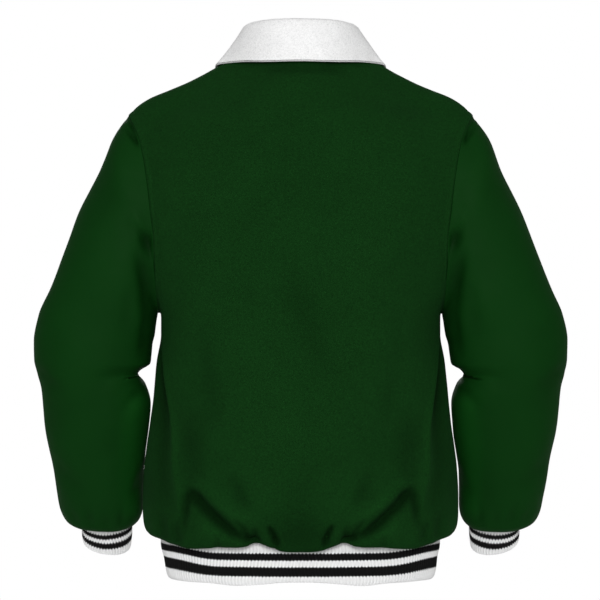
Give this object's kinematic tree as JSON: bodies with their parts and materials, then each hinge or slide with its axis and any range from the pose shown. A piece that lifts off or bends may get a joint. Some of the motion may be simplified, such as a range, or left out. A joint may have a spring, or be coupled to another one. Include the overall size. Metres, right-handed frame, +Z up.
{
  "type": "varsity jacket",
  "caption": "Green wool varsity jacket with smooth sleeves, a white fold-over collar, striped rib cuffs and waistband, and a snap front, in its worn shape.",
  "frame": {"origin": "between the shoulders, where the wearer's shoulders hold the jacket up, on the plane of the side seams", "axes": "+Z up, the front faces -Y, +X is the wearer's left"},
  "size_m": [0.692, 0.2694, 0.7221],
  "materials": {
    "body_wool": "matte napped wool",
    "sleeve_smooth": "smooth matte, dyed to match the body",
    "collar_wool": "matte napped wool",
    "rib_knit": "matte rib knit with two black stripes",
    "snap_cap": "satin white cap"
  },
  "bodies": {
    "root": {"back": "body_wool", "front_left": "body_wool", "front_right": "body_wool", "sleeve_left": "sleeve_smooth", "sleeve_right": "sleeve_smooth", "collar": "collar_wool", "waistband": "rib_knit", "cuff_left": "rib_knit", "cuff_right": "rib_knit", "snap_1": "snap_cap", "snap_2": "snap_cap", "snap_3": "snap_cap", "snap_4": "snap_cap", "snap_5": "snap_cap", "snap_6": "snap_cap", "snap_7": "snap_cap"}
  },
  "joints": []
}
